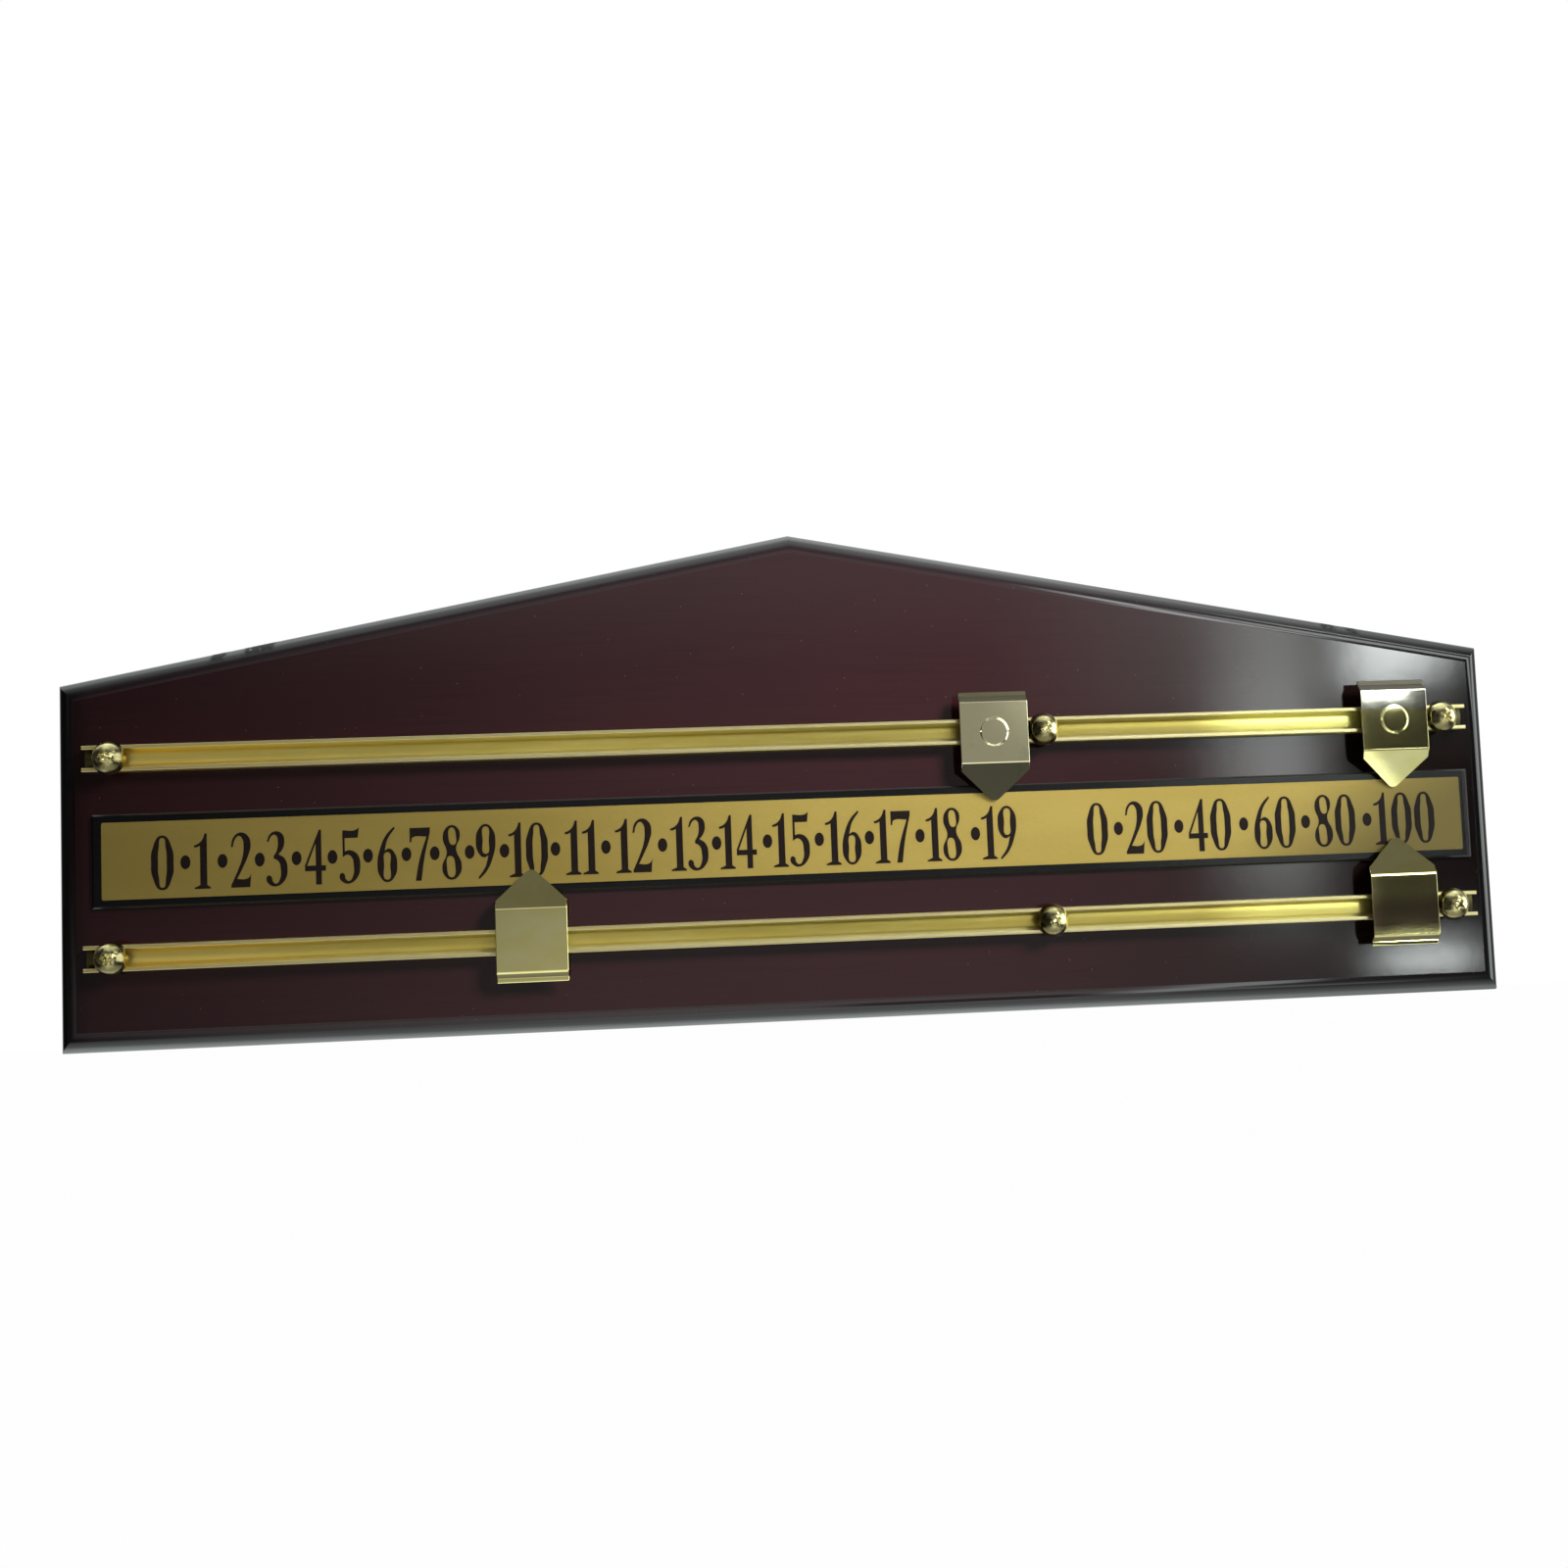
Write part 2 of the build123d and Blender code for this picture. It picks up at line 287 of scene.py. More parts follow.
def rail_brass():
    """Drawn brass, with painted shade in the middle and past the end screws, and painted light at
    both ends, at the edges of the channel's floor and on the lips.
    """
    brass, light_brass, middle_shade_brown = (0.62, 0.495, 0.105), (0.68, 0.56, 0.15), (0.18, 0.14, 0.03)
    right_highlight_yellow, left_highlight_gold = (1.0, 0.95, 0.30), (0.95, 0.75, 0.19)
    corner_light_pale, groove_light_pale = (0.98, 0.92, 0.55), (0.92, 0.84, 0.42)
    end_shade_black, lip_highlight_pale = (0.02, 0.016, 0.008), (0.62, 0.54, 0.30)
    finish = Surface("rail_brass", Metallic=0.8)
    x, y, z = finish.axes()
    up = rail_height(z)
    draw = finish.noise((0.004, 1.2, 1.2), 1.0)
    stain = finish.noise((0.03, 0.2, 0.2), 3.0)
    end_shade = x.size().between(277.5, 279.5) * y.between(-23.3, -22.8)
    colour = finish.layered(
        finish.mix(stain.between(0.35, 0.7), brass, light_brass),
        # Painted shade along the middle of the rails
        (x.within(-110, 20, 165, 195) * 0.38, middle_shade_brown),
        # Painted highlight: brighter and yellower at the right end, most on the upper rail
        (x.between(165, 200) * z.between(*BETWEEN_RAILS, 0.4, 1.0), right_highlight_yellow),
        # Painted light at the lower and upper edges of the channel's floor, where shade falls
        (up.within(-4.6, -4.5, -3.4, -2.0) * 0.8, corner_light_pale),
        (up.within(2.2, 3.4, 4.5, 4.6) * 0.45, groove_light_pale),
        # Painted light: brighter and more golden towards the left end
        (x.between(-285, -150, 0.95, 0.0), left_highlight_gold),
        # Painted shade: the channel's floor is nearly black past the end screws
        (end_shade * 0.93, end_shade_black),
        # Painted highlight on the front faces of the lips
        (y.between(-24.1, -23.3, 1.0, 0.0) * 0.7, lip_highlight_pale),
    )
    return finish.set(
        Base_Color=colour,
        Roughness=draw * 0.06 + 0.33,
        Normal=finish.bump(draw, 0.0006),
    )


def screw_brass():
    """Polished brass, with painted shade to the left and below, and a painted highlight in the
    recess.
    """
    brass, tarnished, screw_shade_brown = (0.92, 0.83, 0.42), (0.62, 0.52, 0.20), (0.10, 0.08, 0.035)
    recess_highlight_pale = (1.0, 0.95, 0.62)
    finish = Surface("screw_brass", Metallic=1.0)
    x, y, z = finish.axes()
    at_ends = x.size().between(*BETWEEN_SCREWS, 0.0, END_SCREW_X - MIDDLE_SCREW_X)
    across = x.size() - MIDDLE_SCREW_X - at_ends
    up = rail_height(z)
    tarnish = finish.noise((0.5, 0.5, 0.5), 3.0)
    pits = finish.noise((0.9, 0.9, 0.9), 3.0)
    # Painted shade on the left and lower sides of each head
    left_side = across.between(-4.5, 3.5, 0.8, 0.0) * x.between(*BETWEEN_SCREWS, 1.0, 0.5)
    low_side = up.between(-4.6, -1.0, 0.9, 0.0) * across.between(2.5, 5.0, 1.0, 0.3)
    middle = (across * across + up * up).between(8.6, 10.8, 1.0, 0.0)
    # Painted highlight in the cross recess, which is also rougher
    recess = middle * y.between(-28.8, -28.5)
    colour = finish.layered(
        finish.mix(tarnish.between(0.4, 0.75), brass, tarnished),
        (left_side, screw_shade_brown),
        (low_side, screw_shade_brown),
        (recess, recess_highlight_pale),
    )
    return finish.set(
        Base_Color=colour,
        Roughness=tarnish * 0.1 + 0.1 + recess * 0.15,
        Normal=finish.bump(pits, 0.09),
    )


def pointer_brass():
    """Polished sheet, rubbed in places, with painted sheen on the upper pointers and painted shade
    on the lower-right face and on the tails.
    """
    brass, light_brass, rubbed = (0.85, 0.78, 0.32), (0.90, 0.84, 0.40), (0.60, 0.55, 0.30)
    upper_left_sheen_pale, upper_right_sheen_pale = (0.86, 0.83, 0.53), (0.95, 0.93, 0.78)
    lower_right_shade_brown, tail_shade_brown = (0.36, 0.27, 0.17), (0.06, 0.045, 0.028)
    finish = Surface("pointer_brass", Metallic=1.0)
    x, y, z = finish.axes()
    brush = finish.noise((4.0, 0.12, 0.12), 3.0, 0.6)
    cloud = finish.noise((0.06, 0.1, 0.1), 3.0)
    rub = finish.noise((0.1, 0.1, 0.1), 4.0, 0.65)
    right = x.between(*RIGHT_POINTERS)
    lower_face = z.within(-93, -89, -72, -69.5) * z.between(-84, -74, 1.0, 0.2)
    upper_tail = z.between(9.4, 10.0)
    lower_tail = z.within(-96.6, -96.1, -94.7, -94.2)
    tail = upper_tail + lower_tail
    colour = finish.layered(
        finish.mix(cloud.between(0.3, 0.7), brass, light_brass),
        # Painted sheen: paler on the upper-left pointer and on the upper part of the upper-right
        # one
        (x.within(0, 50, 130, 190), upper_left_sheen_pale),
        (right * z.between(1.0, 2.5), upper_right_sheen_pale),
        # Painted shade on the face of the lower-right pointer
        (right * lower_face * 0.9, lower_right_shade_brown),
        (rub.between(0.55, 0.8, 0.0, 0.3), rubbed),
        # Painted shade on the tails, which are also rougher
        (tail * 0.92, tail_shade_brown),
    )
    return finish.set(
        Base_Color=colour,
        Roughness=rub * 0.02 + 0.025 + tail * 0.4,
        Normal=finish.bump(brush * 0.02 + rub, 0.003),
    )


def runner_plastic():
    finish = Surface("runner_plastic", IOR=1.49)
    grain = finish.noise((4.0, 4.0, 4.0), 2.0)
    return finish.set(
        Base_Color=finish.mix(grain, (0.016, 0.016, 0.017), (0.03, 0.03, 0.031)),
        Roughness=grain * 0.15 + 0.45,
        Normal=finish.bump(grain, 0.01),
    )


def hanger_steel():
    """Zinc plate with its spangle."""
    finish = Surface("hanger_steel", Metallic=1.0)
    flake = finish.cells(0.4).out("Color")
    shade = finish.add("ShaderNodeSeparateColor", None, flake).out("Red")
    return finish.set(
        Base_Color=finish.mix(shade, (0.55, 0.56, 0.56), (0.70, 0.71, 0.70)),
        Roughness=shade * 0.15 + 0.3,
    )


def number_ink():
    finish = Surface("number_ink", IOR=1.25)
    wear = finish.noise((0.7, 0.7, 0.7), 3.0)
    return finish.set(
        Base_Color=finish.mix(wear, (0.006, 0.0035, 0.003), (0.016, 0.009, 0.008)),
        Roughness=wear * 0.15 + 0.4,
    )


# Making pieces

def pick(piece):
    """Makes a piece the only selected one."""
    if bpy.context.object and bpy.context.object.mode != "OBJECT":
        bpy.ops.object.mode_set(mode="OBJECT")
    bpy.ops.object.select_all(action="DESELECT")
    piece.select_set(True)
    bpy.context.view_layer.objects.active = piece


def settle(piece):
    """Puts the piece's place into its mesh."""
    pick(piece)
    bpy.ops.object.transform_apply(location=True, rotation=True, scale=True)


def wear_finish(piece, material):
    piece.data.materials.clear()
    piece.data.materials.append(material)


def ease_edges(piece, width, angle):
    """Rounds the edges that turn by more than an angle."""
    pick(piece)
    bevel = piece.modifiers.new("eased", "BEVEL")
    bevel.width = width
    bevel.segments = 2
    bevel.limit_method = "ANGLE"
    bevel.angle_limit = radians(angle)
    bpy.ops.object.modifier_apply(modifier="eased")


def smooth_over(piece, angle):
    """Smooth shading in which the large flats stay flat."""
    pick(piece)
    bpy.ops.object.shade_smooth_by_angle(angle=radians(angle))
    even = piece.modifiers.new("even", "WEIGHTED_NORMAL")
    even.keep_sharp = True
    even.weight = 80
    bpy.ops.object.modifier_apply(modifier="even")


def refined(node, width, finish, body, smooth=35, angle=30):
    """A node's own form, with its triangles joined and its edges eased by a width in mm."""
    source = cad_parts[node]
    piece = bpy.data.objects.new(node + "_finished", source.data.copy())
    bpy.context.scene.collection.objects.link(piece)
    pick(piece)
    bpy.ops.object.mode_set(mode="EDIT")
    bpy.ops.mesh.select_all(action="SELECT")
    bpy.ops.mesh.remove_doubles(threshold=0.002 * mm)
    bpy.ops.mesh.dissolve_limited(angle_limit=radians(0.5))
    bpy.ops.object.mode_set(mode="OBJECT")
    ease_edges(piece, width * mm, angle)
    smooth_over(piece, smooth)
    wear_finish(piece, finish)
    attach(piece, body)
    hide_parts(node)


# Numbers

FIGURE_HEIGHT = 22
FIGURE_FLOOR = 3.2
INK_THICKNESS = 0.03
INK_LIFT = 0.012
DOT_SIZE = (1.95, 2.8, 1.0)
DOT_HEIGHT = 10.9

# Each figure is drawn 22 units tall, with its width first. A third value of 0 marks a corner.
# The 9 is the 6 turned round.
FIGURES = {
    "0": (8.8, [
        [(4.4, 22), (8.3, 16.5), (8.8, 11), (8.3, 5.5), (4.4, 0), (0.5, 5.5), (0, 11), (0.5, 16.5)],
        [(4.4, 21), (5.75, 17), (6.1, 11), (5.75, 5), (4.4, 1), (3.05, 5), (2.7, 11), (3.05, 17)],
    ]),
    "1": (6.4, [[
        (0.1, 0, 0), (6.4, 0, 0), (6.4, 0.6, 0), (5.05, 1.5, 0), (5.05, 22.2, 0), (4.2, 22.2, 0),
        (3.2, 19.7), (1.7, 18.2), (0, 17.5, 0), (0, 16.7, 0), (1.3, 16.8), (2.3, 17.3, 0),
        (2.3, 1.5, 0), (0.1, 0.6, 0),
    ]]),
    "2": (8.0, [[
        (0.1, 16.3, 0), (1.2, 20.3), (4, 22.1), (6.9, 20.6), (7.9, 17), (7.0, 13), (4.9, 8.2),
        (2.5, 3.5, 0), (5.6, 3.3), (7.1, 3.9), (8, 5.5, 0), (7.5, 0, 0), (0.1, 0, 0), (0.1, 1, 0),
        (2.9, 7.2), (4.6, 12), (5.1, 16.4), (4.6, 19.6), (3.3, 20.7), (1.8, 19.4), (0.9, 16.3, 0),
    ]]),
    "3": (8.4, [[
        (0.4, 17.9, 0), (1.5, 20.8), (4, 22.1), (6.5, 20.9), (7.3, 17.9), (6.5, 14.8),
        (4.9, 12.8, 0), (7.3, 11), (8.4, 7), (7.3, 2.3), (3.8, -0.1), (1.1, 0.8), (0, 3),
        (0.9, 4.4), (2.1, 3.7), (2.5, 2), (3.9, 1), (5.3, 2.7), (5.7, 6.8), (4.9, 9.9),
        (3, 11.2, 0), (3, 12.1, 0), (4.3, 14.5), (4.7, 17.8), (4.3, 20), (3.2, 20.7),
        (1.9, 19.7), (1.1, 17.9, 0),
    ]]),
    "4": (8.3, [
        [(4.3, 0, 0), (6.6, 0, 0), (6.6, 5.5, 0), (8.3, 5.5, 0), (8.3, 7.7, 0), (6.6, 7.7, 0),
         (6.6, 22.1, 0), (5.7, 22.1, 0), (0, 7.9, 0), (0, 5.5, 0), (4.3, 5.5, 0)],
        [(4.3, 7.7, 0), (4.3, 16.6, 0), (0.9, 7.7, 0)],
    ]),
    "5": (8.3, [[
        (1.4, 21.5, 0), (6.6, 21.5), (8, 22.5, 0), (7.5, 18.3, 0), (2.3, 18.3, 0), (2.3, 13, 0),
        (4.3, 13.4), (7.2, 11.7), (8.3, 7.4), (7.1, 2.3), (3.7, -0.1), (1.1, 0.8), (0, 2.9),
        (0.9, 4.3), (2, 3.7), (2.4, 2), (3.8, 1), (5.3, 2.8), (5.7, 7.2), (4.9, 10.6), (3.2, 11.6),
        (1.4, 10.6, 0),
    ]]),
    "6": (7.9, [
        [(6.8, 22.3, 0), (3.6, 18.9), (1.1, 13.3), (0, 7.4), (0.9, 2.4), (3.9, -0.1), (6.9, 2.2),
         (7.9, 6.8), (7, 11.5), (4.8, 13.5), (3, 12.7, 0), (4.3, 17.4), (7.2, 21.6, 0)],
        [(4, 12.1), (5.1, 6.5), (3.9, 0.9), (2.7, 6.8)],
    ]),
    "7": (8.2, [[
        (0, 21.5, 0), (8.2, 21.5, 0), (8.1, 19.4, 0), (5.9, 10), (4.4, 0, 0), (2.1, 0, 0),
        (3.6, 8), (6.7, 17.8, 0), (1.6, 17.8), (0.9, 17.2), (0.7, 15.7, 0), (0, 15.7, 0),
    ]]),
    "8": (7.8, [
        [(4, 22.1), (6.5, 20.8), (7.3, 17.6), (5.7, 12.4), (7.8, 6.2), (6.8, 1.8), (3.8, -0.1),
         (1, 1.5), (0, 5.4), (1.9, 10.9), (0.4, 16.8), (1.5, 20.6)],
        [(4, 21.1), (5.7, 17.8), (4.6, 14), (2.7, 17.6)],
        [(3.2, 9.6), (5.2, 5.2), (3.8, 0.9), (1.9, 5.2)],
    ]),
}

# Middles of the numbers and of the dots between them, in millimetres from the board's middle
NUMBER_PLACES = {
    -256.7: "0", -241.1: "1", -226.0: "2", -211.9: "3", -196.7: "4", -183.1: "5", -168.2: "6",
    -155.0: "7", -142.4: "8", -128.7: "9", -111.6: "10", -90.0: "11", -68.8: "12", -46.0: "13",
    -26.0: "14", -4.0: "15", 17.7: "16", 38.3: "17", 59.8: "18", 83.2: "19",
    125.1: "0", 146.1: "20", 173.4: "40", 201.7: "60", 228.0: "80", 258.6: "100",
}
DOT_PLACES = [
    -247.7, -233.2, -218.6, -204.1, -189.9, -175.8, -160.5, -149.2, -135.2, -121.2, -100.6, -80.1,
    -57.0, -34.8, -13.8, 7.7, 28.6, 49.8, 73.2, 134.1, 160.1, 188.2, 215.2, 242.2,
]
# Past this place, in the scale of twenties, a number's figures stand further apart
TWENTIES_X = 100
ONES_GAP, TWENTIES_GAP = 0.6, 1.3


def figure_mesh(figure):
    """A flat figure made from its outlines, and its width."""
    turned = figure == "9"
    width, outlines = FIGURES["6" if turned else figure]
    curve = bpy.data.curves.new("figure", "CURVE")
    curve.dimensions = "2D"
    curve.fill_mode = "BOTH"
    curve.extrude = INK_THICKNESS / 2
    curve.resolution_u = 6
    for outline in outlines:
        spline = curve.splines.new("BEZIER")
        spline.bezier_points.add(len(outline) - 1)
        spline.use_cyclic_u = True
        for point, (x, y, *corner) in zip(spline.bezier_points, outline):
            point.co = (width - x, FIGURE_HEIGHT - y, 0) if turned else (x, y, 0)
            kind = "VECTOR" if corner else "AUTO"
            point.handle_left_type = kind
            point.handle_right_type = kind
    piece = bpy.data.objects.new("figure", curve)
    bpy.context.scene.collection.objects.link(piece)
    bpy.context.view_layer.update()
    pick(piece)
    bpy.ops.object.convert(target="MESH")
    return piece, width


def stand_on_plate(piece, x, height=0.0):
    """Turns a piece drawn flat, in millimetres, to face the viewer, and sets it on the plate."""
    piece.rotation_euler = (radians(90), 0, 0)
    piece.scale = (mm, mm, mm)
    floor = plate_low.z + FIGURE_FLOOR * mm
    piece.location = (x * mm, plate_low.y - INK_LIFT * mm, floor + height * mm)
    settle(piece)


def make_number(text, x):
    gap = ONES_GAP if x < TWENTIES_X else TWENTIES_GAP
    made = [figure_mesh(figure) for figure in text]
    pieces = [piece for piece, _ in made]
    start = x - (sum(width for _, width in made) + gap * (len(made) - 1)) / 2
    for piece, width in made:
        stand_on_plate(piece, start)
        start += width + gap
    pick(pieces[0])
    for piece in pieces:
        piece.select_set(True)
    if len(pieces) > 1:
        bpy.ops.object.join()
    pieces[0].name = f"number_{text}_at_{round(x + BOARD_HALF)}"
    return pieces[0]


def make_dot(x):
    bpy.ops.curve.primitive_bezier_circle_add(radius=1.0)
    piece = bpy.context.object
    piece.data.dimensions = "2D"
    piece.data.fill_mode = "BOTH"
    piece.data.extrude = INK_THICKNESS / 2
    piece.scale = DOT_SIZE
    bpy.ops.object.transform_apply(location=False, rotation=False, scale=True)
    bpy.ops.object.convert(target="MESH")
    stand_on_plate(piece, x, DOT_HEIGHT)
    piece.name = f"dot_at_{round(x + BOARD_HALF)}"
    return piece


def make_numbers(ink):
    pieces = [make_number(text, x) for x, text in NUMBER_PLACES.items()]
    pieces += [make_dot(x) for x in DOT_PLACES]
    for piece in pieces:
        wear_finish(piece, ink)
        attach(piece, "board_unit")


# Rail screws, in millimetres

HEAD_RADIUS = 6.8
DOME_HEIGHT = 5.6
DOME_RINGS = 12
HEAD_SIDES = 56
BLADE_SIZE = (6.4, 1.55, 3.4)
BLADE_TAPER = (0.36, 0.75, 1)
BLADE_SINK = 0.7
RECESS_EASE = 0.14
RECESS_ANGLE = 28
# How far the recess of the left, middle and right screw is turned, in degrees
SCREW_TURNS = (20, 65, 40)


def dome_mesh():
    """A dome head built up ring by ring, facing up."""
    crown = (HEAD_RADIUS**2 + DOME_HEIGHT**2) / (2 * DOME_HEIGHT)
    bpy.ops.mesh.primitive_circle_add(vertices=HEAD_SIDES, radius=HEAD_RADIUS, fill_type="NOTHING")
    piece = bpy.context.object
    bpy.ops.object.mode_set(mode="EDIT")
    bpy.ops.mesh.select_all(action="SELECT")
    height, radius = 0.0, HEAD_RADIUS
    for ring in range(1, DOME_RINGS):
        lift = DOME_HEIGHT * sin(radians(90 * ring / DOME_RINGS))
        across = (crown**2 - (lift + crown - DOME_HEIGHT) ** 2) ** 0.5
        bpy.ops.mesh.extrude_region_move(TRANSFORM_OT_translate={"value": (0, 0, lift - height)})
        bpy.ops.transform.resize(value=(across / radius, across / radius, 1))
        height, radius = lift, across
    # The top is closed, and then the open rim below
    bpy.ops.mesh.edge_face_add()
    bpy.ops.mesh.select_all(action="SELECT")
    bpy.ops.mesh.region_to_loop()
    bpy.ops.mesh.edge_face_add()
    bpy.ops.mesh.select_all(action="SELECT")
    bpy.ops.mesh.normals_make_consistent(inside=False)
    bpy.ops.object.mode_set(mode="OBJECT")
    return piece


def recess_blade(turn):
    """One tapered blade of the cross, as on the tip of a screwdriver."""
    bpy.ops.mesh.primitive_cube_add(size=1, location=(0, 0, DOME_HEIGHT - BLADE_SINK))
    blade = bpy.context.object
    blade.scale = BLADE_SIZE
    settle(blade)
    bpy.ops.object.mode_set(mode="EDIT")
    bpy.ops.mesh.select_all(action="DESELECT")
    bpy.ops.object.mode_set(mode="OBJECT")
    for vertex in blade.data.vertices:
        vertex.select = vertex.co.z < DOME_HEIGHT - 1
    bpy.ops.object.mode_set(mode="EDIT")
    bpy.ops.transform.resize(value=BLADE_TAPER, center_override=(0, 0, 0))
    bpy.ops.object.mode_set(mode="OBJECT")
    blade.rotation_euler = (0, 0, radians(turn))
    settle(blade)
    return blade


def screw_head():
    """A dome head with a cross recess, facing up."""
    head = dome_mesh()
    for blade in [recess_blade(turn) for turn in (0, 90)]:
        pick(head)
        cut = head.modifiers.new("recess", "BOOLEAN")
        cut.operation = "DIFFERENCE"
        cut.solver = "EXACT"
        cut.object = blade
        bpy.ops.object.modifier_apply(modifier="recess")
        bpy.data.objects.remove(blade)
    ease_edges(head, RECESS_EASE, RECESS_ANGLE)
    bpy.ops.object.shade_smooth_by_angle(angle=radians(RECESS_ANGLE))
    return head


def make_screws(row, finish):
    """The three screw heads of a rail, each a copy with its own mesh."""
    low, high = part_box(f"{row}_rail_screws")
    middle = (low.z + high.z) / 2
    places = (low.x + HEAD_RADIUS * mm, MIDDLE_SCREW_X * mm, high.x - HEAD_RADIUS * mm)
    head = screw_head()
    for name, x, turn in zip(("left", "middle", "right"), places, SCREW_TURNS):
        piece = head.copy()
        piece.data = head.data.copy()
        bpy.context.scene.collection.objects.link(piece)
        piece.name = f"{row}_{name}_screw_head"
        piece.matrix_world = (
            Matrix.Translation((x, lip_y, middle))
            @ Matrix.Rotation(radians(turn), 4, "Y")
            @ Matrix.Rotation(radians(90), 4, "X")
            @ Matrix.Scale(mm, 4)
        )
        settle(piece)
        wear_finish(piece, finish)
        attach(piece, "board_unit")
    bpy.data.objects.remove(head)
    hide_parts(f"{row}_rail_screws")


# The part

def make_part():
    lacquer = board_lacquer().owner
    gloss = backing_gloss().owner
    plate = plate_brass().owner
    rail = rail_brass().owner
    screw = screw_brass().owner
    pointer = pointer_brass().owner
    plastic = runner_plastic().owner
    steel = hanger_steel().owner
    ink = number_ink().owner
    refined("board", 0.55, lacquer, "board_unit", 40)
    refined("scale_backing", 0.12, gloss, "board_unit")
    refined("scale_plate", 0.08, plate, "board_unit")
    for row in ("upper", "lower"):
        refined(f"{row}_rail", 0.1, rail, "board_unit")
        for side in ("left", "right"):
            # An angle this wide leaves the pressed ring crisp
            body = f"{row}_{side}_slider"
            refined(f"{row}_{side}_pointer", 0.28, pointer, body, angle=80)
    for row in ("upper", "lower"):
        make_screws(row, screw)
    for node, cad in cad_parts.items():
        if node.endswith("_runner"):
            wear_finish(cad, plastic)
        elif "hanger" in node:
            wear_finish(cad, steel)
    make_numbers(ink)


# Studio

# How much of the floor's colour, as the camera sees it, is plain white
FLOOR_WHITE = 0.985
# The even light that the room gives to what isn't glossy
ROOM_FILL = 0.07

# The camera as fitted to the corners of the board, the plate, the rails and the pointers
CAMERA_PLACE = (-0.05312, -0.63412, -0.05885)
CAMERA_RIGHT = Vector((0.996533, -0.074076, -0.037894))
CAMERA_ABOVE = Vector((0.033213, -0.063439, 0.997433))
CAMERA_AHEAD = Vector((0.07629, 0.995233, 0.060759))
CAMERA_LENS = 34.182


def soft_light(name, place, aim, width, height, power, colour=(1, 1, 1), spread=180):
    bpy.ops.object.light_add(type="AREA", location=place)
    light = bpy.context.object
    light.name = name
    light.data.shape = "RECTANGLE"
    light.data.size = width
    light.data.size_y = height
    light.data.energy = power
    light.data.color = colour
    light.data.spread = radians(spread)
    light.visible_camera = False
    light.visible_glossy = False
    light.rotation_euler = (Vector(aim) - Vector(place)).to_track_quat("-Z", "Y").to_euler()


def make_floor():
    """A pale floor below the board, white to the camera but for a trace of the shadow."""
    bpy.ops.mesh.primitive_plane_add(size=8, location=(0, 0, -0.5))
    floor = bpy.context.object
    floor.name = "floor"
    finish = Surface("floor", Base_Color=(0.8, 0.8, 0.8), Roughness=0.9)
    lit = Signal(finish, finish.shader.outputs[0])
    white = finish.add("ShaderNodeEmission", None, (1, 1, 1, 1), 1.0)
    seen = finish.add("ShaderNodeLightPath").out("Is Camera Ray")
    both = finish.add("ShaderNodeMixShader", None, seen * FLOOR_WHITE, lit, white)
    finish.feed(finish.tree.nodes["Material Output"].inputs[0], both)
    wear_finish(floor, finish.owner)
    floor.visible_glossy = False


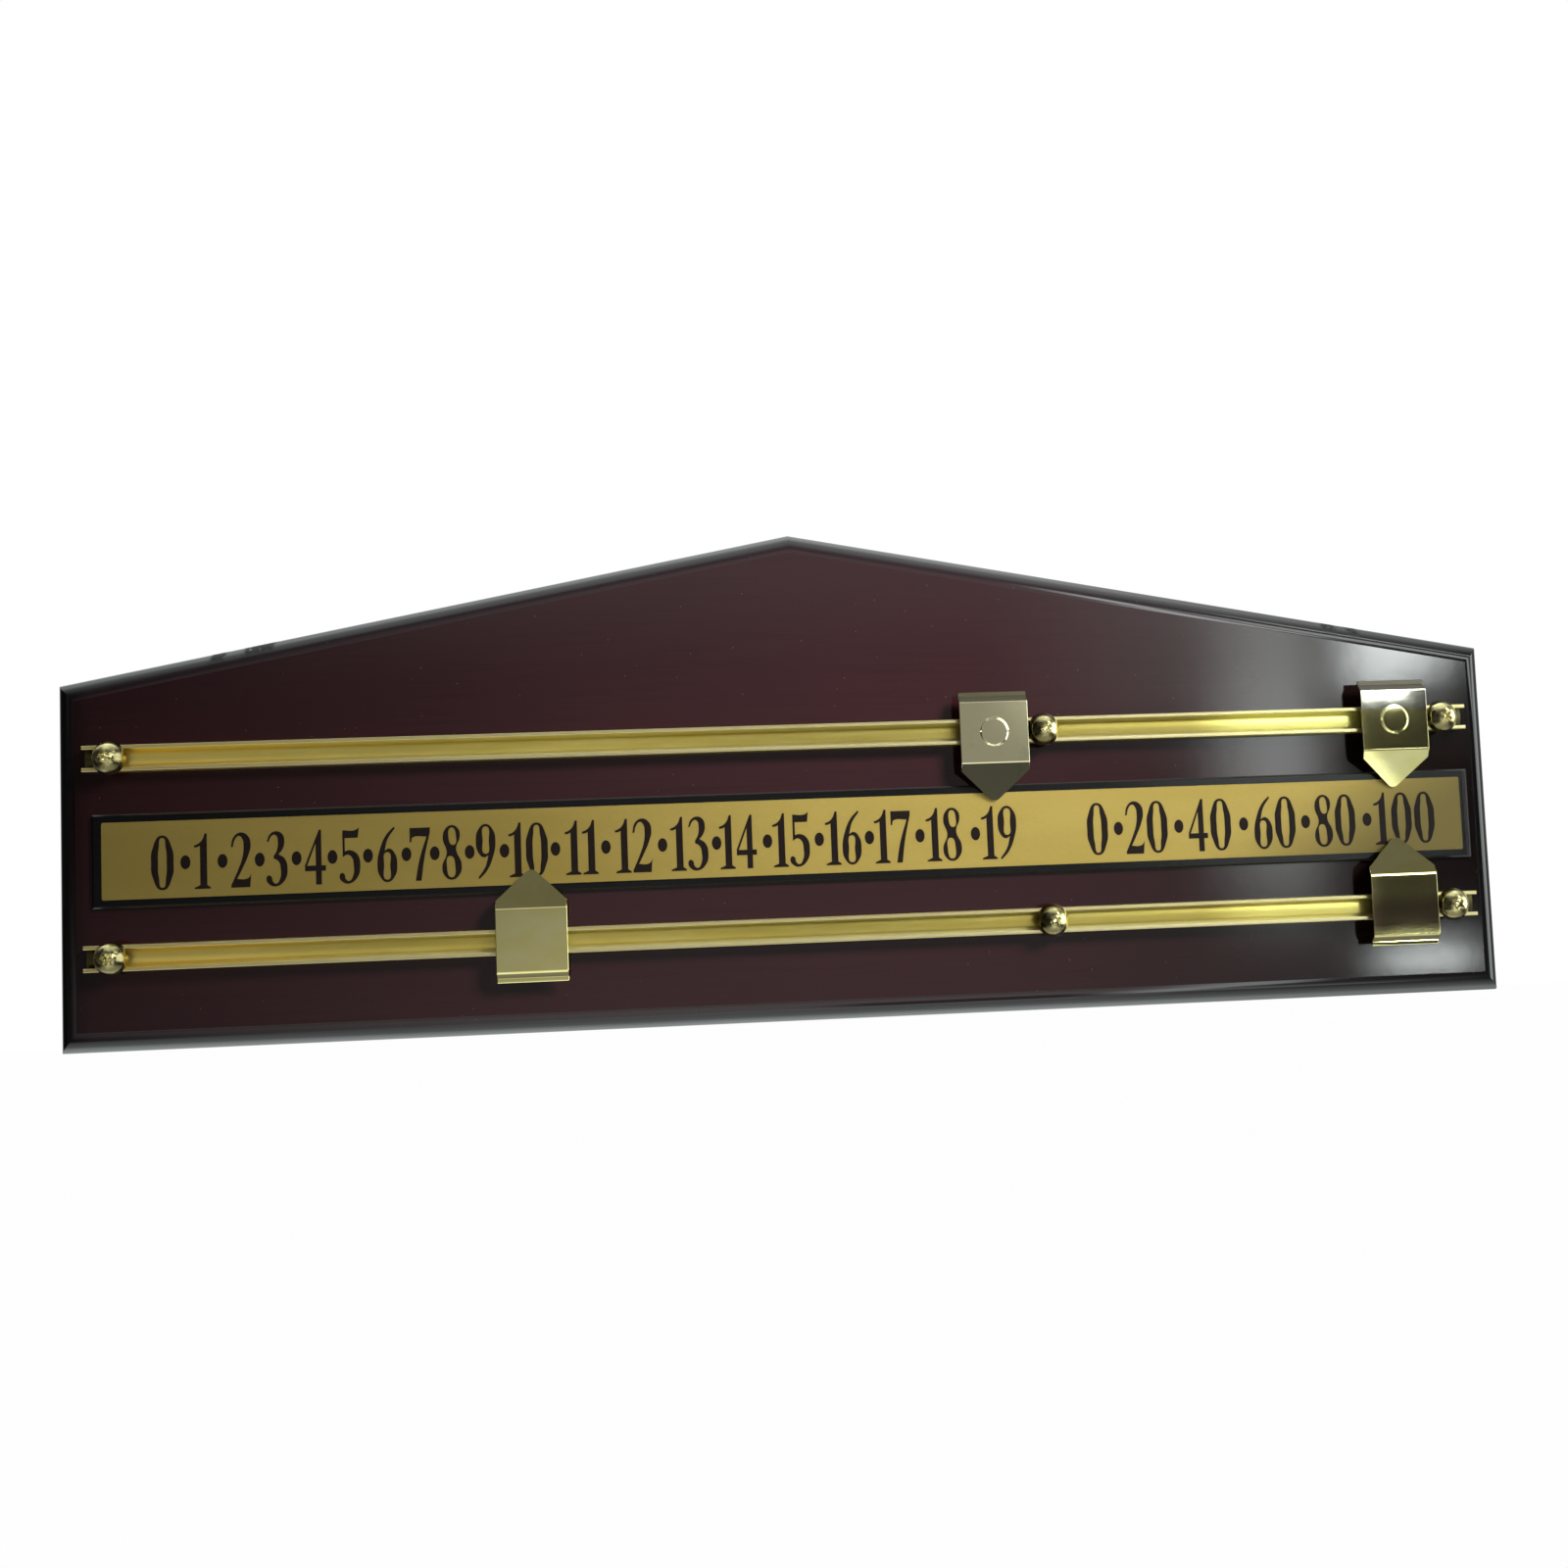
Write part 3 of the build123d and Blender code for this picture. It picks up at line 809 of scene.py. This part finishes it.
def make_world():
    """White behind the object, and for the gloss a dim room with a window at the front right."""
    world = bpy.data.worlds.new("studio")
    bpy.context.scene.world = world
    world.cycles.sampling_method = "NONE"
    sky = Finish(world)
    way = sky.add("ShaderNodeTexCoord").out("Generated")
    split = sky.add("ShaderNodeSeparateXYZ", None, way)
    x, y, z = split.out("X"), split.out("Y"), split.out("Z")
    # How far across and up a direction goes for each unit that it goes forward from the board
    depth = (0 - y).maths("MAXIMUM", 0.001)
    across, level = x / depth, z / depth

    def card(left, right, low, high, strength):
        """A soft card of light. Each pair is where one of its edges starts and stops fading."""
        return across.within(*left, *right) * level.within(*low, *high) * strength

    # The window and what is seen round it
    window = card((0.455, 0.50), (0.525, 0.56), (0.103, 0.126), (0.22, 0.35), 21.5)
    notch = across.between(0.508, 0.526) * level.between(0.116, 0.132, 1.0, 0.0)
    window = window * (1 - notch)
    curtain = card((0.35, 0.425), (0.43, 0.462), (-0.085, 0.06), (0.2, 0.3), 5.2)
    curtain = curtain * level.between(0.07, 0.16, 1.0, 0.6)
    skylight = card((0.5, 0.6), (0.95, 1.2), (0.34, 0.42), (0.6, 0.7), 5.0)
    transom = card((0.75, 0.9), (1.35, 1.5), (1.0, 1.15), (1.6, 1.75), 5.0)
    glow = card((0.2, 0.36), (0.43, 0.46), (0.07, 0.12), (0.3, 0.4), 0.7)
    pane = card((0.34, 0.42), (0.46, 0.52), (0.17, 0.25), (0.55, 0.8), 6.5)
    apron = card((0.34, 0.44), (0.47, 0.5), (-0.8, -0.65), (-0.2, -0.13), 3.0)
    sill = card((0.475, 0.495), (0.54, 0.56), (-0.085, -0.078), (-0.07, -0.064), 24.0)
    side_glow = x.between(0.66, 0.8) * z.within(-0.4, -0.2, 0.35, 0.6)
    side_glow = side_glow * y.between(-0.1, 0.1, 3.2, 0.0)
    slant = (across + level).between(-0.1, -0.08, 1.4, 0.5)
    ledge = card((0.45, 0.53), (0.66, 0.80), (-1.0, -0.85), (-0.62, -0.45), 1.0) * slant
    lights = window + skylight + transom + curtain + glow + pane + apron + sill
    lights = lights + side_glow + ledge

    # The room's front wall, dimmer to the left and beside the window, then its floor and ceiling
    lift = level.between(0.13, 0.22) * 0.35 + level.between(-0.24, -0.12, 0.55, 0.0)
    lift = lift + level.between(-0.1, 0.06, 0.16, 0.0)
    lift = lift * across.between(-0.6, 0.0, 0.45, 1.0) * across.between(-0.6, -0.4, 0.1, 1.0)
    wall = across.between(-0.5, 0.15, 0.03, 0.29) + lift
    near = level.within(-1.6, -1.1, 0.5, 0.72)
    shade = card((0.1, 0.17), (0.36, 0.44), (-0.95, -0.85), (-0.55, -0.48), 0.93)
    room = near * wall * across.between(0.45, 0.485, 1.0, 0.13) * (1 - shade)
    far = (1 - near) * level.between(-0.5, 0.5, 0.06, 0.14)
    room = room + far * across.between(-2.0, -0.8, 0.15, 1.0)

    # The white above, below and behind the board, which its edges mirror
    above = z.between(0.7, 0.98) * x.between(0.1, 0.35, 1.1, 1.25)
    below = z.between(-1.0, -0.55, 1.35, 0.0)
    behind = y.between(-0.15, 0.2) * x.between(-0.9, -0.5, 0.01, 1.0)
    behind = behind * x.between(0.2, 0.45, 1.0, 0.55) * x.between(0.55, 0.85, 1.0, 0.3)
    lights = lights + above + below + behind

    rays = sky.add("ShaderNodeLightPath")
    camera, shine = rays.out("Is Camera Ray"), rays.out("Is Glossy Ray")
    strength = camera + (1 - camera) * (shine * (room + lights) + (1 - shine) * ROOM_FILL)
    tint = sky.mix(lights.between(0.0, 0.6), (0.98, 0.97, 0.95), (0.93, 1.0, 0.985))
    background = sky.tree.nodes["Background"]
    sky.feed(background.inputs["Strength"], strength)
    sky.feed(background.inputs["Color"], sky.mix(camera, tint, (1, 1, 1)))


def make_camera():
    bpy.ops.object.camera_add()
    camera = bpy.context.object
    camera.data.lens = CAMERA_LENS
    camera.data.sensor_width = 36.0
    turn = Matrix((CAMERA_RIGHT, CAMERA_ABOVE, -CAMERA_AHEAD)).transposed().to_4x4()
    camera.matrix_world = Matrix.Translation(CAMERA_PLACE) @ turn
    bpy.context.scene.camera = camera


make_part()
make_floor()
make_world()
soft_light(
    "daylight", (0.55, -0.6, 0.45), aim=(0.03, 0, 0),
    width=0.3, height=0.3, power=0.62, colour=(1.0, 1.0, 0.97), spread=36,
)
soft_light("overhead", (0.2, -0.35, 1.2), aim=(0, 0, 0), width=1.2, height=0.6, power=1.5)
soft_light("behind", (-0.3, 0.9, 0.5), aim=(0, 0, 0), width=0.8, height=0.6, power=6)
make_camera()
bpy.context.scene.view_settings.view_transform = "Standard"
